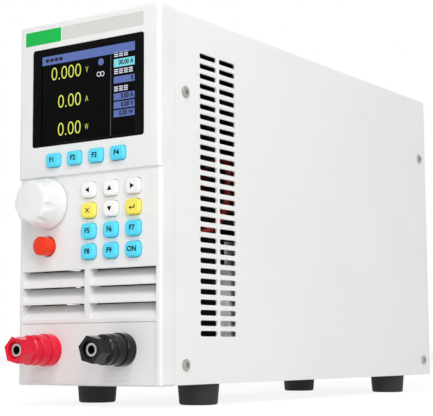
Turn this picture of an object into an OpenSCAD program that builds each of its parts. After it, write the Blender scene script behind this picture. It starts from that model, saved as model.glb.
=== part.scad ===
// Bench electronic load for direct current: a narrow upright housing with a moulded front panel,
// a folded sheet cover on a base tray, a display with four soft keys, a keypad of twelve keys,
// a fluted encoder knob, a power button, two terminal posts and a fan at the back.
// Sizes in millimetres. +Z is up, the panel faces -Y, the origin lies under the middle of the part.
// The modules use the panel's own frame: y = 0 is the face of the lower panel, z = 0 its lower edge.

/* [Housing] */
// Width of the front panel
body_w = 86.4; // [86:0.2:100]
// Depth from the panel face to the back edge of the cover
body_d = 282; // [270:1:340]
// Plain panel above the display window
top_margin = 12.9; // [12:0.1:20]
// Height by which the panel's outline stands out past the sheet cover
bezel_proud = 0.4; // [0.2:0.1:0.8]
// Thickness of the cover sheet
cover_t = 1; // [0.8:0.1:1.4]
// Outside bend radius of the cover's upper edges
cover_bend_r = 2.5; // [1.8:0.1:4]
// Thickness of the base tray sheet
tray_t = 1.2; // [1:0.1:1.6]
// Height of the tray's side flanges
tray_flange_h = 14; // [13:0.5:20]
// Thickness of the rear panel sheet
rear_t = 1.2; // [1:0.1:1.6]
// Distance of the rear panel's outer face inside the cover's back edge
rear_inset = 4; // [3.6:0.1:4.4]
// Gap left between sheets and mouldings that slide into each other
sheet_fit = 0.2; // [0.1:0.05:0.3]

/* [Cooling slots] */
// Length of one side slot
slot_len = 14.1; // [8:0.1:16]
// Height of one side slot
slot_h = 2.6; // [2.2:0.1:3.8]
// Corner radius of a side slot
slot_r = 1; // [0.5:0.1:1]
// Vertical pitch of the side slots
slot_pitch = 4.889; // [4.4:0.001:8]
// Distance between the two columns of slots
slot_gap = 2.3; // [2:0.1:8]
// Distance of the first column behind the panel face
slot_y = 31.1; // [28:0.1:60]
// Height of the lowest slot
slot_z = 22.5; // [20:0.5:40]
// Least plain height above the highest slot
slot_top = 17; // [12:0.5:40]

/* [Front panel] */
// Depth of the panel's side walls
bezel_d = 10.5; // [9.5:0.1:13]
// Thickness of the panel's side walls
bezel_wall = 2.5; // [2:0.1:3]
// Thickness of the panel's front wall
front_t = 2.5; // [2:0.1:3.2]
// Height by which the display section stands out past the lower panel
step_out = 1.2; // [0.6:0.1:2]
// Radius of the lower edge of the display section
step_r = 0.8; // [0.4:0.1:0.8]
// Radius of the upright front edges
edge_r = 2.2; // [1.5:0.1:5]
// Radius of the upper and lower front edges
lid_r = 1.6; // [1:0.1:2]
// Radius of the panel's corners seen from the front
corner_r = 2; // [1:0.1:2.4]
// Depth of the sunk field around the terminal posts
field_depth = 0.4; // [0.3:0.1:0.8]
// Plain edge left beside the sunk field
field_edge = 3.2; // [2.8:0.1:5]
// Plain edge left under the sunk field
field_low = 1.9; // [1.7:0.1:5]
// Length of the lip that enters the cover
lip_len = 4; // [2:0.5:6]
// Thickness of the lip
lip_t = 1.6; // [1.2:0.1:2]
// Length of the screw tabs behind the panel
tab_len = 15; // [14:0.5:18]

/* [Louvred vent] */
// Number of louvre rows
vent_rows = 3; // [2:1:4]
// Vertical pitch of the louvres
vent_pitch = 8; // [7:0.1:10]
// Height of the slit between a louvre's back edge and the lip above it
vent_slit = 0.2; // [0:0.1:1.5]
// Depth of a louvre from its front lip to its upper back edge
vent_depth = 6; // [5:0.1:7]
// Height of a louvre's front lip
vent_lip = 0.9; // [0.8:0.1:1.6]
// Width of the bar between the two halves of the vent
vent_bar = 2.9; // [2:0.1:6]
// Plain edge at each end of the vent
vent_edge = 2.9; // [2.8:0.1:6]
// Plain height between the posts and the vent
vent_gap = 5.8; // [4:0.1:12]

/* [Keypad] */
// Width of a keypad key
key_w = 8.2; // [7:0.1:9]
// Height of a keypad key
key_h = 7.2; // [6:0.1:7.4]
// Corner radius of a keypad key
key_r = 2.2; // [1:0.1:2.8]
// Sideways pitch of the keypad
key_pitch_x = 13.2; // [12.6:0.1:14]
// Vertical pitch of the keypad
key_pitch_z = 9.65; // [9.6:0.05:12]
// Plain width between the keypad and the panel's right side
key_margin = 11.2; // [10.6:0.1:11.6]
// Plain height between the vent and the keypad
key_gap_z = 4.4; // [4.2:0.1:10]
// Height of the keys above the panel
key_out = 2; // [1.2:0.1:3]
// Width of the slope around a key's face
key_slope = 0.7; // [0.3:0.1:1]
// Travel of a key
key_travel = 0.5; // [0.2:0.1:0.5]
// Gap around a key in its hole and behind the panel
key_fit = 0.25; // [0.15:0.05:0.3]
// Width of the flange that keeps a key behind the panel
key_flange = 0.9; // [0.6:0.1:0.9]
// Width of a soft key
soft_w = 8.2; // [7:0.1:10]
// Height of a soft key
soft_h = 6.5; // [5:0.1:8]
// Corner radius of a soft key
soft_r = 1.5; // [0.8:0.1:2.2]
// Sideways pitch of the soft keys
soft_pitch = 13.15; // [12.6:0.05:15]
// Plain height between the step and the soft keys
soft_gap = 4.5; // [4:0.1:10]
// Plain height between the keypad and the step
step_gap = 4.5; // [3:0.1:10]

/* [Display] */
// Width of the display window
window_w = 68.5; // [66:0.5:70]
// Height of the display window
window_h = 48.2; // [47.4:0.1:60]
// Plain height between the soft keys and the window
window_gap = 3.9; // [3.6:0.1:10]
// Width of the picture area
active_w = 57.6; // [48:0.1:59]
// Height of the picture area
active_h = 43.2; // [36:0.1:43.8]
// Height of the picture area's lower edge above the window's lower edge
active_gap = 1.7; // [1.5:0.1:2.1]
// Sideways place of the picture area in the window
active_x = -0.7; // [-1.5:0.1:1.5]
// Depth of the display surround's outer edge below the panel face
surround_sink = 0.2; // [0.1:0.1:0.6]
// Depth over which the surround slopes down to the picture
surround_slope = 0.9; // [0.8:0.1:1.8]
// Thickness of the display module
display_t = 3.4; // [2.5:0.1:4.5]

/* [Knob and button] */
// Diameter of the knob's skirt
knob_d = 24.4; // [22.6:0.1:25.4]
// Diameter of the knob's front face
knob_front_d = 20.8; // [18:0.2:21.2]
// Height of the knob's front face above the panel
knob_h = 13.8; // [13:0.1:17]
// Radius of the knob's front edge
knob_edge = 2.2; // [1:0.1:3]
// Height of the dome of the knob's front face
knob_dome = 0.4; // [0.2:0.1:0.8]
// Gap between the knob and the panel
knob_gap = 0.6; // [0.4:0.1:1]
// Plain width between the knob's skirt and the panel's left side
knob_margin = 6.7; // [6.2:0.1:7.6]
// Number of grip flutes
flute_n = 8; // [6:1:10]
// Depth of a grip flute at the knob's front
flute_depth = 1.8; // [0.8:0.1:2.4]
// Height above the panel at which a grip flute runs out
flute_end = 6.2; // [5:0.1:8]
// Radius of a grip flute's hollow
flute_r = 3.2; // [2.6:0.1:5]
// Angle of the first flute
flute_turn = -15; // [-45:1:45]
// Radius of the encoder shaft
shaft_r = 3; // [2.8:0.1:3.1]
// Radial running clearance of the shaft
shaft_fit = 0.05; // [0.02:0.01:0.08]
// Height of the encoder's body
encoder_h = 6.5; // [6.5:0.1:8]
// Diameter of the power button
button_d = 9; // [8:0.1:10]
// Height of the power button above the panel
button_out = 7; // [4:0.1:9]
// Gap around the power button in its hole
button_fit = 0.4; // [0.3:0.05:0.6]
// Travel of the power button
button_travel = 2.5; // [1.5:0.1:2.5]
// Plain height between the knob's skirt and the button's hole
button_gap = 3.3; // [2:0.1:5]

/* [Terminal posts] */
// Distance between the two posts
post_pitch = 44.6; // [38:0.1:46]
// Sideways place of the middle between the posts
post_mid = -0.8; // [-1.5:0.1:1.5]
// Height of the posts above the panel's lower edge
post_z = 16.6; // [15:0.1:22]
// Length of a post in front of the panel
post_len = 23.5; // [22.5:0.1:28]
// Diameter of the post's base flange
base_d = 15.2; // [14.8:0.1:17]
// Length of the post's base flange
base_len = 5; // [3:0.1:6]
// Diameter of the fixed collar in front of the flange
collar_d = 14.2; // [13.8:0.1:14.6]
// Length of the fixed collar
collar_len = 6.2; // [4:0.1:6.5]
// Diameter of the cap's skirt
cap_d = 13.8; // [13.4:0.1:14.2]
// Length of the cap's skirt
cap_len = 4; // [3:0.1:4.5]
// Width across the flats of the cap's hexagon
cap_flats = 11.2; // [10:0.1:12]
// Turn of the hexagon about its axis
cap_turn = 47; // [0:1:60]
// Gap between the closed cap and the collar
cap_gap = 0.3; // [0.2:0.05:0.5]
// Radius of the threaded stud
stud_r = 3; // [2.9:0.05:3.2]
// Radius of the plug socket in the stud
socket_r = 2; // [1.95:0.01:2.1]
// Depth of the plug socket
socket_len = 16; // [12:0.5:20]
// Radial running clearance of cap and washer on the stud
cap_fit = 0.08; // [0.04:0.01:0.1]
// Depth of the stud's tip below the cap's face
tip_sink = 1.3; // [0.6:0.1:2]

/* [Feet and screws] */
// Height of the rubber feet
foot_h = 10; // [6:0.5:14]
// Upper diameter of a foot
foot_d = 20; // [16:0.5:22]
// Lower diameter of a foot
foot_low_d = 18.5; // [15:0.5:20]
// Radius of a foot's lower edge
foot_edge_r = 1.2; // [0.5:0.1:2]
// Distance of a foot's middle inside the panel's side
foot_inset = 12; // [12:0.1:16]
// Distance of the front feet behind the panel face
foot_front = 45.6; // [42:0.1:46]
// Distance of the rear feet before the cover's back edge
foot_rear = 36.3; // [35.5:0.1:37.5]
// Head diameter of the cover screws
screw_head_d = 5.5; // [5:0.1:6]
// Head height of the cover screws
screw_head_h = 1; // [0.8:0.1:1.6]
// Shank radius of the cover screws
screw_r = 1.5; // [1.3:0.1:1.5]
// Radial clearance of the cover screws in the sheets
screw_fit = 0.1; // [0.06:0.01:0.2]
// Distance of the front cover screws behind the panel face
screw_front = 19.2; // [18.5:0.1:20.5]
// Distance of the rear cover screws before the cover's back edge
screw_rear = 8.9; // [8.8:0.1:11]
// Height of the lower cover screws
screw_low = 9.4; // [8.5:0.1:10]
// Height of the upper cover screws
screw_high = 136; // [100:0.5:150]

/* [Inside] */
// Thickness of the circuit boards
board_t = 1.6; // [1:0.1:2]
// Distance between the heat sink's plate and the middle of the housing
sink_offset = 14; // [12:0.5:15]
// Distance of the heat sink behind the panel face
sink_front = 116; // [114:1:124]
// Distance between the heat sink and the fan
sink_gap = 12; // [10:1:20]
// Height of the heat sink's upper edge above the fan's axis
sink_over = 38; // [34:0.5:39]
// Thickness of the heat sink's upright plate
sink_t = 6; // [4:0.5:8]
// Thickness of a heat sink fin
fin_t = 2; // [1.2:0.1:2.5]
// Vertical pitch of the heat sink fins
fin_pitch = 6; // [5:0.1:9]
// Height of the lowest heat sink fin
fin_z = 84; // [80:0.5:90]
// Length of a heat sink fin
fin_len = 42; // [30:0.5:45]
// Distance by which the main board reaches past the heat sink towards the panel
board_reach = 12; // [10:0.5:14]
// Height of the main board's lower edge
board_low = 18; // [16:0.5:22]
// Length of the stand-offs between heat sink and main board
standoff_len = 10; // [8:0.5:11]
// Distance of the transformer behind the panel face
core_front = 52; // [46:0.5:54]
// Width of the transformer
core_w = 38; // [30:0.5:39]
// Length of the transformer
core_l = 50; // [40:0.5:52]
// Height of the transformer
core_h = 56; // [44:0.5:70]
// Distance by which the transformer's winding lies inside its core
wind_in = 1.5; // [1:0.1:3]
// Corner radius of the transformer's winding
wind_r = 5; // [2:0.5:8]
// Thickness of the cheeks at the winding's ends
cheek_t = 1.4; // [1:0.1:2.5]
// Height by which a cheek stands out from the winding
cheek_out = 0.8; // [0.4:0.1:1]
// Radius of the supply leads
lead_r = 1.9; // [1.2:0.1:2.2]

/* [Rear panel] */
// Width and height of the fan
fan_w = 70; // [60:1:72]
// Depth of the fan
fan_t = 25; // [22:1:27]
// Height of the fan's axis
fan_z = 118; // [116:1:124]
// Number of fan blades
blade_n = 7; // [5:1:9]
// Wire radius of the fan guard
wire_r = 0.8; // [0.6:0.1:1]
// Height of the mains inlet's middle
inlet_z = 32; // [26:0.5:34]
// Height of the serial port's middle
serial_z = 57; // [56:0.5:58]
// Height of the sense terminal's middle
sense_z = 73; // [72:0.5:74]

/* [Hidden] */
$fn = 48;
cut = 1;
vent_z = post_z + base_d / 2 + vent_gap;
vent_top = vent_z + vent_rows * vent_pitch;
key_z = vent_top + key_gap_z + key_h / 2;
key_top = key_z + 3 * key_pitch_z + key_h / 2;
step_z = key_top + step_gap;
soft_z = step_z + soft_gap + soft_h / 2;
window_z = soft_z + soft_h / 2 + window_gap;
window_mid = window_z + window_h / 2;
body_h = window_z + window_h + top_margin;
active_mid = window_z + active_gap + active_h / 2;
key_x = body_w / 2 - key_margin - key_w / 2 - key_pitch_x;
knob_x = knob_margin + knob_d / 2 - body_w / 2;
knob_z = key_z + 2.5 * key_pitch_z;
button_z = knob_z - knob_d / 2 - button_gap - button_d / 2 - button_fit;
shaft_end = knob_h - 2;

cover_w = body_w - 2 * bezel_proud;
cover_top = body_h - bezel_proud;
cover_in = cover_w / 2 - cover_t;
tray_z = bezel_proud;
tray_top = tray_z + tray_t;
flange_x = cover_in - sheet_fit;
rear_y = body_d - rear_inset - rear_t;
rear_face = rear_y + rear_t;
tab_y = bezel_d + tab_len;

board_y = front_t + encoder_h;
board_back = board_y + board_t;
plunger_y = board_y - 4;
flange_y = front_t + key_fit;
stem_y = plunger_y - key_travel - 0.15;

cap_y = -(base_len + collar_len + cap_gap);
nut_y = front_t;
nut_t = 5;
lug_y = nut_y + nut_t;
lug_t = 1.2;
lug_r = 5.4;
lug_len = 9;
ferrule_len = 7;
lead_in = lug_len + 2;

sink_x = -sink_offset;
sink_y0 = sink_front;
sink_y1 = rear_y - fan_t - sink_gap;
sink_top = fan_z + sink_over;
fin_n = floor((sink_top - fin_z - fin_t) / fin_pitch) + 1;
board_x = sink_x - standoff_len;
main_y0 = sink_y0 - board_reach;
main_l = sink_y1 - board_reach / 2 - main_y0;
main_h = sink_top - board_t - board_low;
case_w = 16;
case_h = 21;
case_t = 5;
relay_l = 28;
relay_h = 16;
choke_r = 12;
inlet_w = 27.4;
inlet_h = 19.8;
inlet_depth = 20;
sense_w = 20.4;
sense_h = 8.2;
jack_x = 12.5;
port_fit = 0.2;
rear_flange = 12;
rear_tab = 10;
rear_tab_w = 48;
core_y = core_front;
core_x1 = flange_x - tray_t - 1.5;
core_top = tray_top + core_h + 12;
fan_y = rear_y - fan_t;
fan_bore = fan_w / 2 - 1.5;
fan_hole = fan_w / 2 - 4.5;
fan_screw_r = 1.5;
fan_screw_bite = 9;
slot_rows = floor((body_h - slot_z - slot_h - slot_top) / slot_pitch) + 1;

front_y = -(body_d + post_len) / 2 + post_len;
floor_z = foot_h - bezel_proud;

// Places a module from the panel's frame into the part's frame.
module in_frame() {
    translate([0, front_y, floor_z]) children();
}

// Extrudes an outline drawn in x and z from y0 to y1.
module along_y(y0, y1) {
    translate([0, y1, 0]) rotate([90, 0, 0]) linear_extrude(y1 - y0) children();
}

// Extrudes an outline drawn in y and z from x0 to x1.
module along_x(x0, x1) {
    translate([x0, 0, 0]) rotate([90, 0, 90]) linear_extrude(x1 - x0) children();
}

// Round bar along y at a place on the panel.
module rod(x, z, r, y0, y1) {
    translate([x, y1, z]) rotate([90, 0, 0]) cylinder(r = r, h = y1 - y0);
}

// Hexagonal bar along y with a width across the flats.
module hex_bar(x, z, flats, y0, y1, turn = 0) {
    translate([x, y1, z]) rotate([90, 0, 0]) rotate(turn)
        cylinder(r = flats / sqrt(3), h = y1 - y0, $fn = 6);
}

// Rectangle with rounded corners about its middle.
module rounded(w, h, r) {
    square([w, h - 2 * r], center = true);
    square([w - 2 * r, h], center = true);
    for (sx = [-1, 1], sz = [-1, 1]) {
        translate([sx * (w / 2 - r), sz * (h / 2 - r)]) circle(r);
    }
}

// Upright outline with two rounded upper corners, standing on z = 0.
module arch(w, h, r) {
    translate([-w / 2, 0]) square([w, h - r]);
    translate([r - w / 2, 0]) square([w - 2 * r, h]);
    for (s = [-1, 1]) {
        translate([s * (w / 2 - r), h - r]) circle(r);
    }
}

// Box between two corners.
module box(a, b) {
    translate(a) cube(b - a);
}

function soft_x(i) = (i - 1.5) * soft_pitch;
function key_at(column, row) = [key_x + (column - 1) * key_pitch_x, key_z + row * key_pitch_z];
function post_at(s) = post_mid + s * post_pitch / 2;
soft_places = [for (i = [0:3]) [soft_x(i), soft_z]];
key_places = [for (row = [0:3], column = [0:2]) key_at(column, row)];
boss_places = [for (s = [-1, 1]) each [[s * (body_w / 2 - 7.2), soft_z],
    [s * (body_w / 2 - 6.7), key_z - 1], [s * (body_w / 2 - 13.2), window_z + window_h + 6.3]]];
fan_places = [for (sx = [-1, 1], sz = [-1, 1]) [sx * (fan_w / 2 - 4.5), fan_z + sz * (fan_w / 2 - 4.5)]];
foot_places = [for (s = [-1, 1], y = [foot_front, body_d - foot_rear]) [s * (body_w / 2 - foot_inset), y]];

// Side outline of the panel: the display section stands out and has a rounded lower edge.
module bezel_side() {
    translate([-step_out, step_z + step_r]) square([step_out + bezel_d, body_h - step_z - step_r - lid_r]);
    translate([lid_r - step_out, step_z]) square([step_out + bezel_d - lid_r, body_h - step_z]);
    translate([step_r - step_out, step_z]) square([step_out, step_r * 2]);
    translate([step_r - step_out, step_z + step_r]) circle(step_r);
    translate([lid_r - step_out, body_h - lid_r]) circle(lid_r);
    translate([0, lid_r]) square([bezel_d, step_z]);
    translate([lid_r, 0]) square([bezel_d - lid_r, step_z]);
    translate([lid_r, lid_r]) circle(lid_r);
}

// Plan outline of the panel with rounded upright edges, its face at y0.
module bezel_plan(y0) {
    translate([-body_w / 2, y0 + edge_r]) square([body_w, bezel_d - y0 - edge_r]);
    translate([edge_r - body_w / 2, y0]) square([body_w - 2 * edge_r, bezel_d - y0]);
    for (s = [-1, 1]) {
        translate([s * (body_w / 2 - edge_r), y0 + edge_r]) circle(edge_r);
    }
}

// Solid block of the panel with all outer edges rounded.
module bezel_block() {
    intersection() {
        along_x(-body_w, body_w) bezel_side();
        along_y(-step_out - cut, bezel_d + cut) translate([0, body_h / 2]) rounded(body_w, body_h, corner_r);
        union() {
            translate([0, 0, -cut]) linear_extrude(step_z + 2 * cut) bezel_plan(0);
            translate([0, 0, step_z]) linear_extrude(body_h - step_z + cut) bezel_plan(-step_out);
        }
    }
}

// One louvre: a front lip flush with the panel and a slope that rises to the back.
module louvre(x0, x1, z) {
    top = z + vent_pitch - vent_slit;
    along_x(x0, x1) polygon([[0, z], [0, z + vent_lip], [vent_depth, top],
        [vent_depth, top - 1.6], [1.4, z]]);
}

// The two louvred halves of the vent with the bar between them and the cheeks at their ends.
module louvres() {
    end = body_w / 2 - vent_edge;
    for (i = [0:vent_rows - 1]) {
        louvre(-end - 0.3, end + 0.3, vent_z + i * vent_pitch);
    }
    box([-vent_bar / 2, 0, vent_z - cut], [vent_bar / 2, vent_depth, vent_top + cut]);
    for (s = [-1, 1]) {
        translate([s * (end + 0.75), 0, 0]) box([-0.75, front_t - cut, vent_z - cut],
            [0.75, vent_depth, vent_top + cut]);
    }
}

// Lip that enters the cover, with four tabs for the front cover screws.
module bezel_lip() {
    lip_h = cover_top - cover_t - tray_top - 2 * sheet_fit;
    lip_mid = tray_top + sheet_fit + lip_h / 2;
    difference() {
        along_y(bezel_d - 3, bezel_d + lip_len) translate([0, lip_mid])
            rounded(2 * flange_x, lip_h, cover_bend_r);
        along_y(bezel_d - 4, bezel_d + lip_len + cut) translate([0, lip_mid])
            square([2 * (flange_x - lip_t), lip_h - 2 * lip_t], center = true);
    }
    for (s = [-1, 1], z = [screw_low, screw_high]) {
        translate([s * (flange_x - lip_t / 2), 0, z])
            box([-lip_t / 2, bezel_d - 1, -5.5], [lip_t / 2, tab_y, 5.5]);
    }
}

module front_bezel() color("whitesmoke") {
    difference() {
        union() {
            difference() {
                bezel_block();
                box([bezel_wall - body_w / 2, front_t, bezel_wall],
                    [body_w / 2 - bezel_wall, bezel_d + cut, body_h - bezel_wall]);
                for (s = [-1, 1]) {
                    half = (body_w - vent_bar) / 4 - vent_edge / 2;
                    translate([s * (vent_bar / 2 + half), 0, 0])
                        box([-half, -cut, vent_z], [half, front_t + cut, vent_top]);
                }
            }
            louvres();
            bezel_lip();
            for (p = boss_places) {
                rod(p[0], p[1], 2.5, front_t - 0.5, board_y);
            }
        }
        box([field_edge - body_w / 2, -cut, field_low],
            [body_w / 2 - field_edge, field_depth, vent_z - 0.8]);
        along_y(-step_out - cut, front_t + cut) translate([0, window_mid]) rounded(window_w, window_h, 1.5);
        for (p = soft_places) {
            along_y(-step_out - cut, front_t + cut) translate(p)
                rounded(soft_w + 2 * key_fit, soft_h + 2 * key_fit, soft_r + key_fit);
        }
        for (p = key_places) {
            along_y(-cut, front_t + cut) translate(p)
                rounded(key_w + 2 * key_fit, key_h + 2 * key_fit, key_r + key_fit);
        }
        rod(knob_x, knob_z, shaft_r + 0.7, -cut, front_t + cut);
        rod(knob_x, button_z, button_d / 2 + button_fit, -cut, front_t + cut);
        for (s = [-1, 1]) {
            rod(post_at(s), post_z, 5.05, -cut, front_t + cut);
        }
        for (p = boss_places) {
            rod(p[0], p[1], 1.25, front_t + 0.8, board_y + cut);
        }
        for (z = [screw_low, screw_high]) {
            translate([-body_w, screw_front, z]) rotate([0, 90, 0])
                cylinder(r = screw_r + 0.05, h = 2 * body_w);
        }
    }
}

// Outline of all side slots in y and z.
module slots() {
    for (column = [0, 1], row = [0:slot_rows - 1]) {
        translate([slot_y + slot_len / 2 + column * (slot_len + slot_gap),
            slot_z + slot_h / 2 + row * slot_pitch]) rounded(slot_len, slot_h, slot_r);
    }
}

module outer_cover() color("white") {
    difference() {
        along_y(bezel_d, body_d) translate([0, bezel_proud])
            arch(cover_w, cover_top - bezel_proud, cover_bend_r);
        along_y(bezel_d - cut, body_d + cut)
            arch(2 * cover_in, cover_top - cover_t, cover_bend_r - cover_t);
        along_x(-body_w, body_w) slots();
        for (y = [screw_front, body_d - screw_rear], z = [screw_low, screw_high]) {
            translate([-body_w, y, z]) rotate([0, 90, 0]) cylinder(r = screw_r + screw_fit, h = 2 * body_w);
        }
    }
}

module base_tray() color("silver") {
    difference() {
        union() {
            box([-flange_x, bezel_d, tray_z], [flange_x, body_d, tray_top]);
            for (s = [-1, 1]) {
                translate([s * (flange_x - tray_t / 2), 0, 0]) box([-tray_t / 2, tab_y + 1, tray_top - 0.5],
                    [tray_t / 2, rear_y - 0.5, tray_z + tray_flange_h]);
            }
        }
        translate([-body_w, body_d - screw_rear, screw_low]) rotate([0, 90, 0])
            cylinder(r = screw_r + 0.05, h = 2 * body_w);
        for (p = foot_places) {
            translate([p[0], p[1], -cut]) cylinder(r = 1.95, h = tray_top + 2 * cut);
        }
    }
}

module rear_panel() color("silver") {
    top = cover_top - cover_t - sheet_fit;
    difference() {
        union() {
            along_y(rear_y, rear_face) translate([0, tray_top])
                arch(2 * flange_x, top - tray_top, cover_bend_r);
            for (s = [-1, 1]) {
                translate([s * (flange_x - rear_t / 2), 0, 0])
                    box([-rear_t / 2, rear_y - rear_flange, tray_z + tray_flange_h + 3],
                        [rear_t / 2, rear_y + 0.5, top - 8]);
            }
            box([-rear_tab_w / 2, rear_y - rear_tab, tray_top],
                [rear_tab_w / 2, rear_y + 0.5, tray_top + rear_t]);
        }
        translate([-body_w, body_d - screw_rear, screw_high]) rotate([0, 90, 0])
            cylinder(r = screw_r + 0.05, h = 2 * body_w);
        rod(0, fan_z, fan_hole, rear_y - cut, rear_face + cut);
        for (p = fan_places) {
            rod(p[0], p[1], fan_screw_r + 0.3, rear_y - cut, rear_face + cut);
        }
        along_y(rear_y - cut, rear_face + cut) translate([0, inlet_z])
            square([inlet_w + 2 * port_fit, inlet_h + 2 * port_fit], center = true);
        along_y(rear_y - cut, rear_face + cut) translate([0, serial_z]) square([20.4, 11], center = true);
        for (s = [-1, 1]) {
            rod(s * jack_x, serial_z, 1.6, rear_y - cut, rear_face + cut);
        }
        along_y(rear_y - cut, rear_face + cut) translate([0, sense_z])
            square([sense_w + 2 * port_fit, sense_h + 2 * port_fit], center = true);
    }
}

module rubber_feet() color("black") {
    low = foot_low_d / 2;
    for (p = foot_places) {
        translate([p[0], p[1], tray_z - foot_h]) difference() {
            rotate_extrude() {
                polygon([[0, 0], [low - foot_edge_r, 0], [low, foot_edge_r], [foot_d / 2, foot_h],
                    [0, foot_h]]);
                translate([low - foot_edge_r, foot_edge_r]) circle(foot_edge_r);
            }
            translate([0, 0, -cut]) cylinder(r = 4.6, h = foot_h * 0.45 + cut);
            translate([0, 0, -cut]) cylinder(r = 2.1, h = foot_h + 2 * cut);
        }
    }
}

module foot_screws() color("silver") {
    for (p = foot_places) {
        translate([p[0], p[1], tray_z - foot_h * 0.55]) difference() {
            union() {
                translate([0, 0, -2]) cylinder(r = 3.6, h = 2);
                cylinder(r = 1.9, h = foot_h * 0.55 + tray_t + 1.5);
            }
            translate([-2.2, -0.45, -2 - cut]) cube([4.4, 0.9, cut + 0.9]);
            translate([-0.45, -2.2, -2 - cut]) cube([0.9, 4.4, cut + 0.9]);
        }
    }
}

// One pan-head screw with a cross recess, its head standing on z = 0.
module pan_screw(r, head_r, head_h, len) {
    difference() {
        union() {
            cylinder(r = head_r, h = head_h * 0.6);
            translate([0, 0, head_h * 0.6]) cylinder(r1 = head_r, r2 = head_r * 0.72, h = head_h * 0.4);
            translate([0, 0, -len]) cylinder(r = r, h = len + 0.2);
        }
        for (turn = [0, 90]) {
            rotate(turn) translate([-head_r * 0.55, -head_r * 0.11, head_h * 0.45])
                cube([head_r * 1.1, head_r * 0.22, head_h]);
        }
    }
}

module cover_screws() color("silver") {
    for (s = [-1, 1], y = [screw_front, body_d - screw_rear], z = [screw_low, screw_high]) {
        translate([s * cover_w / 2, y, z]) rotate([45, 0, 0]) rotate([0, s * 90, 0])
            pan_screw(screw_r, screw_head_d / 2, screw_head_h, cover_t + sheet_fit + 2.6);
    }
}

// Thin slice of the surround's picture opening about a place, at a depth below the panel.
module surround_mouth(w, h, y, place) {
    along_y(y, y + 0.01) translate(place) square([w, h], center = true);
}

module display_surround() color("black") {
    face = surround_sink - step_out;
    seat = face + surround_slope + 0.4;
    difference() {
        union() {
            along_y(face, front_t + 0.5) translate([0, window_mid])
                rounded(window_w - 0.2, window_h - 0.2, 1.4);
            along_y(front_t, front_t + 1.2) translate([0, window_mid])
                square([window_w + 3.4, window_h + 3.4], center = true);
        }
        hull() {
            surround_mouth(window_w - 1.6, window_h - 1.6, face - 0.01, [0, window_mid]);
            surround_mouth(active_w, active_h, face + surround_slope, [active_x, active_mid]);
        }
        along_y(face + surround_slope - 0.1, seat + cut) translate([active_x, active_mid])
            square([active_w, active_h], center = true);
        along_y(seat, front_t + 3) translate([0, window_mid])
            square([window_w - 3.4, window_h - 2], center = true);
    }
}

module display_module() color("dimgray") {
    seat = surround_sink - step_out + surround_slope + 0.4;
    along_y(seat, seat + display_t) translate([0, window_mid])
        square([window_w - 3.8, window_h - 2.4], center = true);
}

module front_board() color("darkgreen") {
    difference() {
        along_y(board_y, board_back) translate([0, (vent_top + body_h - 1.2) / 2])
            square([2 * (flange_x - lip_t - 0.8), body_h - 6.8 - vent_top], center = true);
        for (p = boss_places) {
            rod(p[0], p[1], 1.3, board_y - cut, board_back + cut);
        }
        rod(knob_x, button_z, 2.4, board_y - cut, board_back + cut);
    }
}

module board_screws() color("silver") {
    for (p = boss_places) {
        translate([p[0], board_back, p[1]]) rotate([-90, 0, 0])
            pan_screw(1.2, 2.5, 1.6, board_back - front_t - 1.5);
    }
}

module key_switches() color("black") {
    for (p = concat(soft_places, key_places)) {
        translate([p[0], 0, p[1]]) {
            box([-3, plunger_y + 0.5, -3], [3, board_y, 3]);
            rod(0, 0, 1.7, plunger_y, plunger_y + 0.7);
        }
    }
}

// One key: a cap with a sloped edge, a flange behind the panel and a stem above its switch.
module key(p, w, h, r, face) {
    translate([p[0], 0, p[1]]) {
        hull() {
            along_y(face, face + 0.02)
                rounded(w - 2 * key_slope, h - 2 * key_slope, r - key_slope * 0.5, $fn = 32);
            along_y(face + key_slope * 0.8, flange_y + 0.5) rounded(w, h, r, $fn = 32);
        }
        along_y(flange_y, flange_y + 1.1) square([w + 2 * key_flange, h + 2 * key_flange], center = true);
        rod(0, 0, 1.8, flange_y + 0.5, stem_y);
    }
}

module soft_key(i) {
    color("deepskyblue") key(soft_places[i], soft_w, soft_h, soft_r, -step_out - key_out);
}

module pad_key(column, row, tint) {
    color(tint) key(key_at(column, row), key_w, key_h, key_r, -key_out);
}

module encoder_body() color("silver") {
    difference() {
        union() {
            box([knob_x - 6, front_t, knob_z - 6], [knob_x + 6, board_y, knob_z + 6]);
            rod(knob_x, knob_z, shaft_r + 0.6, -5, front_t + 0.5);
        }
        rod(knob_x, knob_z, shaft_r + shaft_fit, -5 - cut, front_t + 3);
    }
}

module encoder_nut() color("silver") {
    difference() {
        hex_bar(knob_x, knob_z, 10, -2, 0);
        rod(knob_x, knob_z, shaft_r + 0.63, -2 - cut, cut);
    }
}

module encoder_shaft() color("gainsboro") {
    difference() {
        rod(knob_x, knob_z, shaft_r, -shaft_end, front_t + 2.8);
        box([knob_x + shaft_r / 2, -shaft_end - cut, knob_z - 5], [knob_x + 5, -5.5, knob_z + 5]);
    }
}

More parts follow.
